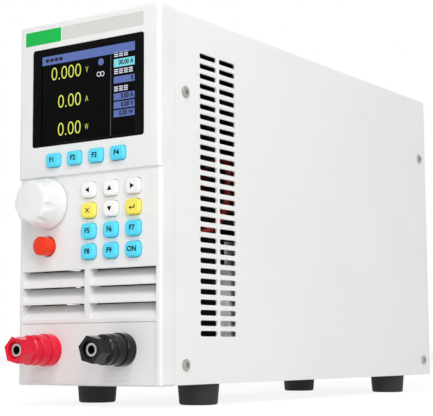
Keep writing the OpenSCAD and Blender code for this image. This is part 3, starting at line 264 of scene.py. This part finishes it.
def wound_core(name, steel, paper, tape, cheek):
    """Transformer finish in zones along Y: steel stack with paper on its ends, taped winding, cheeks."""
    material, tree, place = finish_start(name)
    low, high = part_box("transformer")
    axis = add(tree, "ShaderNodeSeparateXYZ", {"Vector": place})
    off = add(tree, "ShaderNodeMath", {0: axis.outputs["Y"], 1: (low.y + high.y) / 2}, operation="SUBTRACT")
    far = add(tree, "ShaderNodeMath", {0: off.outputs[0]}, operation="ABSOLUTE")
    zone = add(tree, "ShaderNodeMapRange", {"Value": far.outputs[0], "From Max": (high.y - low.y) / 2})
    tint = add(tree, "ShaderNodeValToRGB", {"Fac": zone.outputs["Result"]})
    tint.color_ramp.interpolation = "CONSTANT"
    tint.color_ramp.elements[0].position, tint.color_ramp.elements[0].color = 0.0, linear(steel)
    tint.color_ramp.elements[1].position, tint.color_ramp.elements[1].color = 0.94, linear(cheek)
    tint.color_ramp.elements.new(0.61).color = linear(tape)
    ends = add(tree, "ShaderNodeMath", {0: zone.outputs["Result"], 1: 0.5, 2: 0.115}, operation="COMPARE")
    inner = add(tree, "ShaderNodeMath", {0: axis.outputs["X"], 1: (low.x + high.x) / 2,
                                         2: 0.32 * (high.x - low.x)}, operation="COMPARE")
    papered = add(tree, "ShaderNodeMath", {0: ends.outputs[0], 1: inner.outputs[0]}, operation="MULTIPLY")
    colour = add(tree, "ShaderNodeMix", {0: papered.outputs[0], 6: tint.outputs["Color"], 7: linear(paper)},
                 data_type="RGBA")
    drawn = add(tree, "ShaderNodeMapping", {"Vector": place, "Scale": (0.05, 1.0, 0.05)})
    sheets = add(tree, "ShaderNodeTexNoise", {"Vector": drawn.outputs["Vector"], "Scale": grit(0.6),
                                              "Detail": 2.0})
    gloss = add(tree, "ShaderNodeMapRange", {"Value": sheets.outputs["Fac"], "To Min": 0.4, "To Max": 0.6})
    bump = add(tree, "ShaderNodeBump", {"Height": sheets.outputs["Fac"], "Strength": 0.1,
                                        "Distance": 0.2 * MM})
    body = add(tree, "ShaderNodeBsdfPrincipled", {"Base Color": colour.outputs[2], "IOR": 1.5,
                                                  "Roughness": gloss.outputs["Result"],
                                                  "Normal": bump.outputs["Normal"]})
    add(tree, "ShaderNodeOutputMaterial", {"Surface": body.outputs["BSDF"]})
    return material


transformer_finish = wound_core("varnished_stack_and_tape", "F6F5F1", "0E0E10", "FAF9F6", "0C0C0E")
print("transformer finish made")

# %% [markdown]
# ## Sockets on the rear panel
# The serial port is a plated steel shell around a black moulded insert, and the mains inlet is a black
# moulding with three plated blades. Each is one CAD node, so a mask by place tells metal from moulding: a
# Compare keeps what lies within half a width of a spot's middle, across and upwards.

# %% Socket finishes


def socket(name, node, spots, spots_are_metal):
    """Plated metal and black moulding on one socket; spots give middles and half sizes in millimetres."""
    material, tree, place = finish_start(name)
    low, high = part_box(node)
    axis = add(tree, "ShaderNodeSeparateXYZ", {"Vector": place})
    found = 0.0
    for x, z, half_w, half_h in spots:
        across = add(tree, "ShaderNodeMath", {0: axis.outputs["X"], 1: (low.x + high.x) / 2 + x * MM,
                                              2: half_w * MM}, operation="COMPARE")
        upwards = add(tree, "ShaderNodeMath", {0: axis.outputs["Z"], 1: (low.z + high.z) / 2 + z * MM,
                                               2: half_h * MM}, operation="COMPARE")
        spot = add(tree, "ShaderNodeMath", {0: across.outputs[0], 1: upwards.outputs[0]},
                   operation="MULTIPLY")
        found = add(tree, "ShaderNodeMath", {0: spot.outputs[0], 1: found}, operation="MAXIMUM").outputs[0]
    plated, black = linear("CFCFCB"), linear("1A1B1D")
    colours = {6: black, 7: plated} if spots_are_metal else {6: plated, 7: black}
    colour = add(tree, "ShaderNodeMix", {0: found, **colours}, data_type="RGBA")
    is_metal = add(tree, "ShaderNodeMapRange", {"Value": found, "To Min": 0.0 if spots_are_metal else 1.0,
                                                "To Max": 1.0 if spots_are_metal else 0.0})
    fine = add(tree, "ShaderNodeTexNoise", {"Vector": place, "Scale": grit(0.5), "Detail": 2.0})
    gloss = add(tree, "ShaderNodeMapRange", {"Value": fine.outputs["Fac"], "To Min": 0.28, "To Max": 0.48})
    soft = add(tree, "ShaderNodeBevel", {"Radius": 0.2 * MM}, samples=4)
    bump = add(tree, "ShaderNodeBump", {"Height": fine.outputs["Fac"], "Strength": 0.05,
                                        "Distance": 0.2 * MM, "Normal": soft.outputs["Normal"]})
    body = add(tree, "ShaderNodeBsdfPrincipled", {"Base Color": colour.outputs[2],
                                                  "Metallic": is_metal.outputs["Result"],
                                                  "Roughness": gloss.outputs["Result"],
                                                  "Normal": bump.outputs["Normal"]})
    add(tree, "ShaderNodeOutputMaterial", {"Surface": body.outputs["BSDF"]})
    return material


serial_finish = socket("plated_shell_black_insert", "serial_port", [(0, 0, 7.7, 3.1)], False)
inlet_finish = socket("black_inlet_plated_blades", "mains_inlet",
                      [(-7, -1.5, 1.1, 2.1), (0, 2.5, 1.1, 2.1), (7, -1.5, 1.1, 2.1)], True)
print("socket finishes made")

# %% [markdown]
# ## Rubber, circuit board and display glass
# The feet are moulded rubber: nearly black, rough, with a fine matt bloom. The boards carry green solder
# mask with copper tracks showing through as slightly lighter lines; a brick pattern gives such straight
# runs. The display's glass and its surround are gloss black, where only reflections show.

# %% Rubber, board and glass finishes


def rubber(name, base, bloom):
    """Matt rubber with a pale bloom in its grain."""
    material, tree, place = finish_start(name)
    grain = add(tree, "ShaderNodeTexNoise", {"Vector": place, "Scale": grit(0.8), "Detail": 4.0})
    tint = add(tree, "ShaderNodeValToRGB", {"Fac": grain.outputs["Fac"]})
    tint.color_ramp.elements[0].position, tint.color_ramp.elements[0].color = 0.4, linear(base)
    tint.color_ramp.elements[1].position, tint.color_ramp.elements[1].color = 0.8, linear(bloom)
    soft = add(tree, "ShaderNodeBevel", {"Radius": 0.8 * MM}, samples=6)
    bump = add(tree, "ShaderNodeBump", {"Height": grain.outputs["Fac"], "Strength": 0.12,
                                        "Distance": 0.2 * MM, "Normal": soft.outputs["Normal"]})
    body = add(tree, "ShaderNodeBsdfPrincipled", {"Base Color": tint.outputs["Color"], "Roughness": 0.75,
                                                  "IOR": 1.5, "Normal": bump.outputs["Normal"]})
    add(tree, "ShaderNodeOutputMaterial", {"Surface": body.outputs["BSDF"]})
    return material


def solder_mask(name):
    """Green solder mask over copper tracks about 4 mm apart."""
    material, tree, place = finish_start(name)
    flat = add(tree, "ShaderNodeMapping", {"Vector": place,
                                           "Rotation": (math.radians(90), 0.0, math.radians(20))})
    tracks = add(tree, "ShaderNodeTexBrick", {"Vector": flat.outputs["Vector"], "Scale": grit(8),
                                              "Mortar Size": 0.03, "Mortar": linear("3E9A5C"),
                                              "Color1": linear("1F6B3A"), "Color2": linear("1B6034")})
    body = add(tree, "ShaderNodeBsdfPrincipled", {"Base Color": tracks.outputs["Color"], "Roughness": 0.35,
                                                  "IOR": 1.5})
    add(tree, "ShaderNodeOutputMaterial", {"Surface": body.outputs["BSDF"]})
    return material


def gloss_black(name, base, haze, rough, mirror):
    """Gloss black acrylic or coated glass with a trace of haze."""
    material, tree, place = finish_start(name)
    dust = add(tree, "ShaderNodeTexNoise", {"Vector": place, "Scale": grit(18), "Detail": 3.0})
    tint = add(tree, "ShaderNodeValToRGB", {"Fac": dust.outputs["Fac"]})
    tint.color_ramp.elements[0].position, tint.color_ramp.elements[0].color = 0.35, linear(base)
    tint.color_ramp.elements[1].position, tint.color_ramp.elements[1].color = 0.75, linear(haze)
    gloss = add(tree, "ShaderNodeMapRange", {"Value": dust.outputs["Fac"],
                                             "To Min": rough, "To Max": rough + 0.05})
    body = add(tree, "ShaderNodeBsdfPrincipled", {"Base Color": tint.outputs["Color"], "IOR": 1.49,
                                                  "Roughness": gloss.outputs["Result"],
                                                  "Specular IOR Level": mirror})
    add(tree, "ShaderNodeOutputMaterial", {"Surface": body.outputs["BSDF"]})
    return material


foot_rubber = rubber("moulded_rubber_black", "1F2120", "323432")
board_green = solder_mask("solder_mask_green")
surround_gloss = gloss_black("acrylic_surround_black", "040405", "070708", 0.14, 0.06)
display_glass = gloss_black("display_glass_black", "040405", "070708", 0.12, 0.04)
print("rubber, board and glass finishes made")

# %% [markdown]
# ## Dress the CAD nodes
# A CAD mesh arrives as loose triangles. To shade a round wall smoothly, a Weld modifier joins its corners
# and an Edge Split modifier keeps every crease over 28 degrees sharp; both leave the mesh itself alone.
# Then each node gets its finish.

# %% Finishes by node
SAME_CORNER = 0.002 * MM
CREASE = math.radians(28)
finish_of = {
    panel_abs: ["front_bezel"], cover_paint: ["outer_cover"], zinc: ["base_tray", "rear_panel"],
    foot_rubber: ["rubber_feet"], knob_abs: ["knob"], button_red: ["power_button"],
    nickel: ["encoder_nut", "encoder_body", "encoder_shaft", "post_nuts", "fan_guard", "red_clamp_washer",
             "black_clamp_washer"],
    serial_finish: ["serial_port"], inlet_finish: ["mains_inlet"],
    screw_nickel: ["foot_screws", "cover_screws", "board_screws", "fan_screws"],
    socket_nickel: ["red_post_stud", "black_post_stud", "post_lugs", "board_standoffs"],
    surround_gloss: ["display_surround"], display_glass: ["display_module"],
    board_green: ["front_board", "main_board"],
    case_black: ["key_switches", "power_switch", "power_transistors", "fan_frame", "fan_rotor"],
    key_blue: ["soft_key_%d" % i for i in range(1, 5)] + ["blue_key_%d" % i for i in range(1, 7)],
    key_white: ["left_key", "up_key", "right_key", "down_key"], key_yellow: ["cancel_key", "confirm_key"],
    post_red: ["red_post_base", "red_post_cap"], post_black: ["black_post_base", "black_post_cap"],
    lead_red: ["red_lead"], lead_black: ["black_lead"], anodised: ["heatsink"],
    part_grey: ["board_components"],
    transformer_finish: ["transformer"], terminal_green: ["sense_terminal"],
}
dressed = 0
for finish, names in finish_of.items():
    for name in names:
        node = nodes[name]
        node.data.materials.clear()
        node.data.materials.append(finish)
        node.data.polygons.foreach_set("use_smooth", [True] * len(node.data.polygons))
        weld = node.modifiers.new("join corners", "WELD")
        weld.merge_threshold = SAME_CORNER
        crease = node.modifiers.new("keep creases", "EDGE_SPLIT")
        crease.split_angle = CREASE
        dressed += 1
print("dressed", dressed, "of", len(nodes), "nodes")

# %% [markdown]
# ## Thin pieces: plates, print and lit marks
# A plate is a cube with its upright edges rounded by a bevel. Print on a key is a flat sign a few
# hundredths of a millimetre thick that rides on the key, so that it moves with it. Both are built flat in
# x and z, facing -Y.

# %% Tools for thin pieces
PRINT = 0.03
FILM = 0.02
CAPITAL = 0.72


def keep(name, bm, material, body):
    """Turns a finished bmesh into a piece that rides on a body."""
    bmesh.ops.recalc_face_normals(bm, faces=bm.faces)
    mesh = bpy.data.meshes.new(name)
    bm.to_mesh(mesh)
    bm.free()
    made = bpy.data.objects.new(name, mesh)
    scene.collection.objects.link(made)
    made.data.materials.append(material)
    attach(made, body)


def add_plate(bm, place, width, height, thick, corner):
    """Adds a plate whose back lies at place; sizes in millimetres."""
    made = bmesh.ops.create_cube(bm, size=1.0)["verts"]
    bmesh.ops.scale(bm, vec=(width * MM, thick * MM, height * MM), verts=made)
    upright = [e for e in {e for v in made for e in v.link_edges}
               if abs(e.verts[0].co.y - e.verts[1].co.y) > 0.5 * thick * MM]
    bmesh.ops.translate(bm, vec=place - Vector((0, thick * MM / 2, 0)), verts=made)
    if corner:
        bmesh.ops.bevel(bm, geom=upright, offset=corner * MM, offset_type="OFFSET", affect="EDGES",
                        segments=4, profile=0.5, material=-1)


def add_sign(bm, place, corners, thick=PRINT):
    """Adds a flat sign from its outline in millimetres, x to the right and z up."""
    ring = [bm.verts.new(place + Vector((x * MM, 0, z * MM))) for x, z in corners]
    front = bm.faces.new(ring)
    raised = bmesh.ops.extrude_face_region(bm, geom=[front])["geom"]
    front_corners = [v for v in raised if isinstance(v, bmesh.types.BMVert)]
    bmesh.ops.translate(bm, vec=(0, -thick * MM, 0), verts=front_corners)


def add_text(bm, words, place, height, squeeze=1.0, bold=0.0, thick=PRINT, align="CENTER"):
    """Adds lettering from Blender's own font as flat mesh; height of a capital in millimetres."""
    curve = bpy.data.curves.new("lettering", "FONT")
    curve.body = words
    curve.align_x = align
    curve.align_y = "CENTER"
    curve.size = height * MM / CAPITAL
    curve.extrude = thick * MM / 2
    curve.offset = bold * MM
    curve.resolution_u = 4
    holder = bpy.data.objects.new("lettering", curve)
    scene.collection.objects.link(holder)
    bpy.context.view_layer.update()
    mesh = bpy.data.meshes.new_from_object(holder.evaluated_get(bpy.context.evaluated_depsgraph_get()))
    bpy.data.objects.remove(holder)
    upright = Matrix.Rotation(math.radians(90), 4, "X") @ Matrix.Diagonal((squeeze, 1, 1, 1))
    mesh.transform(Matrix.Translation(place - Vector((0, thick * MM / 2, 0))) @ upright)
    bm.from_mesh(mesh)
    bpy.data.meshes.remove(mesh)


# %% [markdown]
# ## Signs on the keys
# The keys carry pad-printed signs in near-black ink: arrows on the white keys, a cross and a return hook
# on the yellow ones, plain numbered functions on the blue ones, and ON on the last. Ink is a dull film
# with a slightly broken edge, which a fine noise in its colour suggests.

# %% Key signs
ink = moulded("pad_print_ink", "040408", "0A0A0F", 0.6, grain_mm=0.2, grain=0.02, edge_mm=0.01,
              mirror=0.1)
SIGN_LIFT = Vector((0, -0.002 * MM, 0))
LETTER_H, LETTER_BOLD = 2.4, 0.11
triangle = [(-1.3, -1.05), (1.3, -1.05), (0.0, 1.3)]


def turned(corners, angle):
    """Outline turned about its middle by whole quarter turns."""
    c, s = round(math.cos(math.radians(angle))), round(math.sin(math.radians(angle)))
    return [(c * x - s * z, s * x + c * z) for x, z in corners]


cross = [(-1.2, -0.9), (-0.9, -1.2), (0, -0.3), (0.9, -1.2), (1.2, -0.9), (0.3, 0), (1.2, 0.9), (0.9, 1.2),
         (0, 0.3), (-0.9, 1.2), (-1.2, 0.9), (-0.3, 0)]
hook = [(-1.7, -0.4), (-0.6, -1.3), (-0.6, -0.65), (1.6, -0.65), (1.6, 1.2), (1.1, 1.2), (1.1, -0.15),
        (-0.6, -0.15), (-0.6, 0.5)]
signs = {"up_key": triangle, "left_key": turned(triangle, 90), "down_key": turned(triangle, 180),
         "right_key": turned(triangle, 270), "cancel_key": cross, "confirm_key": hook}
words = {"soft_key_%d" % i: "F%d" % i for i in range(1, 5)}
words.update({"blue_key_%d" % i: "F%d" % (i + 4) for i in range(1, 6)})
words["blue_key_6"] = "ON"
for name, outline in signs.items():
    bm = bmesh.new()
    add_sign(bm, face_of(name) + SIGN_LIFT, outline)
    keep("sign_" + name, bm, ink, name + "_body")
for name, text in words.items():
    bm = bmesh.new()
    add_text(bm, text, face_of(name) + SIGN_LIFT, LETTER_H, bold=LETTER_BOLD)
    keep("sign_" + name, bm, ink, name + "_body")
print("key signs:", len(signs) + len(words))

# %% [markdown]
# ## Plates above the display
# A green plate and a long silver-grey strip sit in the panel above the window, both bare. They are thin
# printed films: a plate with rounded corners, a little proud of the panel.

# %% Bare plates
film_green = moulded("film_green", "08C455", "04B84C", 0.38, grain=0.02, edge_mm=0.05, mirror=0.25)
film_silver = moulded("film_silver_grey", "DCDBD7", "D5D4CF", 0.36, grain=0.06, edge_mm=0.05)
bm = bmesh.new()
add_plate(bm, on_panel(-27.6, upper_y, 168.3), 22.8, 6.9, 0.08, 0.15)
keep("green_plate", bm, film_green, "housing")
bm = bmesh.new()
add_plate(bm, on_panel(9.3, upper_y, 168.5), 49.4, 6.6, 0.06, 0.15)
keep("silver_strip", bm, film_silver, "housing")
print("plates made")

# %% [markdown]
# ## The lit picture
# The display shows large yellow-green readings with their units, a blue bar on top, a thin divider and a
# column of small boxes. Each colour is one flat mesh just above the glass with an emissive finish; a
# noise of about one picture element keeps it from being perfectly even, as on a real panel.

# %% Picture on the display


def lit(name, colour, strength=0.9):
    """Glowing picture elements, slightly uneven."""
    material, tree, place = finish_start(name)
    dots = add(tree, "ShaderNodeTexNoise", {"Vector": place, "Scale": grit(0.36), "Detail": 1.0})
    level = add(tree, "ShaderNodeMapRange", {"Value": dots.outputs["Fac"],
                                             "To Min": strength - 0.12, "To Max": strength + 0.12})
    body = add(tree, "ShaderNodeBsdfPrincipled", {"Base Color": linear("0C0C0C"), "Roughness": 0.2,
                                                  "Specular IOR Level": 0.16,
                                                  "Emission Color": linear(colour),
                                                  "Emission Strength": level.outputs["Result"]})
    add(tree, "ShaderNodeOutputMaterial", {"Surface": body.outputs["BSDF"]})
    return material


glass_y = (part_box("display_module")[0].y - panel_y) / MM - 0.01
BOX_X, BOX_W = 22.2, 12.35
picture = {colour: bmesh.new() for colour in ("reading", "bar", "cursor", "white", "grey", "dark")}
PICTURE_X, PICTURE_Z = -0.7, 137.2


def on_glass(x, z, lift=0.0):
    """Place on the glass, in millimetres from the middle of the picture."""
    return on_panel(PICTURE_X + x, glass_y - lift, PICTURE_Z + z)


readings = ((12.0, "0.000", "V", 0.7), (-2.0, "0.00", "A", 0.7), (-15.6, "0.00", "W", 0.5))
for z, text, unit, squeeze in readings:
    add_text(picture["reading"], text, on_glass(-3.7, z), 6.7, 0.94, -0.12, align="RIGHT")
    add_text(picture["reading"], unit, on_glass(-0.4, z - 0.2), 3.0, squeeze, -0.05)
add_plate(picture["bar"], on_glass(0, 19.4), 57.4, 4.3, FILM, 0)
for i in range(4):
    add_plate(picture["dark"], on_glass(-25.5 + 2.9 * i, 19.4, PRINT), 2.2, 1.6, FILM, 0)
add_plate(picture["grey"], on_glass(14.2, -2.4), 0.25, 38.0, FILM, 0)
add_plate(picture["cursor"], on_glass(BOX_X, 12.5), BOX_W, 3.9, FILM, 0)
for z in (4.5, -3.5, -7.5, -11.5):
    add_plate(picture["bar"], on_glass(BOX_X, z), BOX_W, 3.3, FILM, 0)
for z, text in ((12.5, "00.00 A"), (4.5, "0"), (-3.5, "0.00 A"), (-7.5, "0.00 V"), (-11.5, "0.00 W")):
    add_text(picture["dark"], text, on_glass(27.6, z, PRINT), 2.3, 0.86, 0.1, align="RIGHT")
for z, runs in ((16.65, 3), (8.5, 4), (0.25, 3)):
    for i in range(runs):
        for rise in (-0.9, 0.0, 0.9):
            add_plate(picture["white"], on_glass(17.4 + 2.9 * i, z + rise), 2.3, 0.5, FILM, 0)
dot = bmesh.ops.create_circle(picture["bar"], cap_ends=True, segments=24, radius=1.7 * MM)["verts"]
upright = Matrix.Rotation(math.radians(90), 3, "X")
bmesh.ops.rotate(picture["bar"], cent=(0, 0, 0), matrix=upright, verts=dot)
bmesh.ops.translate(picture["bar"], vec=on_glass(8.2, 14.4), verts=dot)
for side in (-1, 1):
    middle = on_glass(8.0 + side * 1.1, 8.6)
    start = [picture["white"].verts.new(middle + Vector((r * MM, -lift * MM, 0)))
             for r, lift in ((0.85, 0.0), (1.25, 0.0), (1.25, FILM), (0.85, FILM))]
    ring = [picture["white"].edges.new((start[i], start[(i + 1) % 4])) for i in range(4)]
    bmesh.ops.spin(picture["white"], geom=start + ring, cent=middle, axis=(0, 1, 0), angle=math.tau,
                   steps=24, use_merge=True, use_duplicate=False)
finishes = {"reading": lit("pixels_yellow_green", "EBF464"), "bar": lit("pixels_blue", "6378BE", 0.85),
            "cursor": lit("pixels_cyan", "84E6F6", 0.9), "white": lit("pixels_white", "E6EAF8", 0.92),
            "grey": lit("pixels_grey", "70727E", 0.8), "dark": lit("pixels_dark_blue", "0A0E2C", 0.8)}
for name, bm in picture.items():
    keep("picture_" + name, bm, finishes[name], "housing")
print("picture made")

# %% [markdown]
# ## Floor, light and camera
# The photograph is a cut-out on white, lit softly from the right and above. The floor and the world look
# white to the camera, in mirrors and through glass, and light the object at a plain level. Two soft boxes
# stand to the front and the right, and a third one behind on the left fills the sides that the photograph
# doesn't show. The camera's place, direction and focal length come from a fit to the housing's edges in
# the photograph.

# %% Floor and world


def studio_floor():
    """White floor that keeps the object's shadow."""
    material = bpy.data.materials.new("studio_paper_white")
    material.use_nodes = True
    tree = material.node_tree
    tree.nodes.clear()
    path = add(tree, "ShaderNodeLightPath")
    paper = add(tree, "ShaderNodeBsdfDiffuse", {"Color": linear("F4F4F4")})
    white = add(tree, "ShaderNodeEmission", {"Color": (1, 1, 1, 1), "Strength": 1.12})
    bright = add(tree, "ShaderNodeMath", {0: path.outputs["Is Camera Ray"],
                                          1: path.outputs["Is Glossy Ray"]}, operation="MAXIMUM")
    seen = add(tree, "ShaderNodeMath", {0: bright.outputs[0], 1: path.outputs["Is Transmission Ray"]},
               operation="MAXIMUM")
    share = add(tree, "ShaderNodeMath", {0: seen.outputs[0], 1: 0.74}, operation="MULTIPLY")
    mix = add(tree, "ShaderNodeMixShader", {0: share.outputs[0], 1: paper.outputs[0], 2: white.outputs[0]})
    add(tree, "ShaderNodeOutputMaterial", {"Surface": mix.outputs[0]})
    return material


bm = bmesh.new()
bmesh.ops.create_grid(bm, x_segments=1, y_segments=1, size=6.0)
floor_mesh = bpy.data.meshes.new("floor")
bm.to_mesh(floor_mesh)
bm.free()
floor = bpy.data.objects.new("floor", floor_mesh)
scene.collection.objects.link(floor)
floor.data.materials.append(studio_floor())

world = bpy.data.worlds.new("studio")
scene.world = world
world.use_nodes = True
sky = world.node_tree
sky.nodes.clear()
path = add(sky, "ShaderNodeLightPath")
bright = add(sky, "ShaderNodeMath", {0: path.outputs["Is Camera Ray"], 1: path.outputs["Is Glossy Ray"]},
             operation="MAXIMUM")
seen = add(sky, "ShaderNodeMath", {0: bright.outputs[0], 1: path.outputs["Is Transmission Ray"]},
           operation="MAXIMUM")
dim = add(sky, "ShaderNodeBackground", {"Color": (1, 1, 1, 1), "Strength": 0.42})
white = add(sky, "ShaderNodeBackground", {"Color": (1, 1, 1, 1), "Strength": 1.0})
mix = add(sky, "ShaderNodeMixShader", {0: seen.outputs[0], 1: dim.outputs[0], 2: white.outputs[0]})
add(sky, "ShaderNodeOutputWorld", {"Surface": mix.outputs[0]})
print("floor and world made")

# %% Lamps


def soft_box(name, place, target, size, watts):
    """A square area lamp at place that looks at target, in metres."""
    lamp = bpy.data.lights.new(name, "AREA")
    lamp.size = size
    lamp.energy = watts
    holder = bpy.data.objects.new(name, lamp)
    holder.location = place
    holder.rotation_euler = (Vector(target) - Vector(place)).to_track_quat("-Z", "Y").to_euler()
    scene.collection.objects.link(holder)


soft_box("key_front_above", (0.45, -0.9, 1.15), (0, -0.1, 0.1), 0.45, 6.0)
soft_box("side_right", (0.93, -0.74, 0.48), (0, -0.1, 0.1), 0.7, 5.5)
soft_box("fill_left_behind", (-1.1, 0.75, 0.8), (0, 0, 0.1), 0.8, 5.0)
print("lamps made")

# %% Camera
YAW, PITCH, ROLL = math.radians(-34.255), math.radians(6.530), math.radians(-0.308)
FOCAL_PX = 1241.7
PHOTO_W = 433
EYE = on_panel(375.56, -443.95, 16.13)
ahead = Vector((math.sin(YAW) * math.cos(PITCH), math.cos(YAW) * math.cos(PITCH), math.sin(PITCH)))
right = Vector((math.cos(YAW), -math.sin(YAW), 0))
up = right.cross(ahead)
right, up = math.cos(ROLL) * right + math.sin(ROLL) * up, math.cos(ROLL) * up - math.sin(ROLL) * right
lens = bpy.data.cameras.new("photo_camera")
lens.sensor_width = 36.0
lens.lens = FOCAL_PX / PHOTO_W * lens.sensor_width
camera = bpy.data.objects.new("photo_camera", lens)
turn = Matrix((right, up, -ahead)).transposed().to_4x4()
camera.matrix_world = Matrix.Translation(EYE) @ turn
scene.collection.objects.link(camera)
scene.camera = camera
scene.view_settings.view_transform = "Standard"
print("lens", round(lens.lens, 2), "mm")
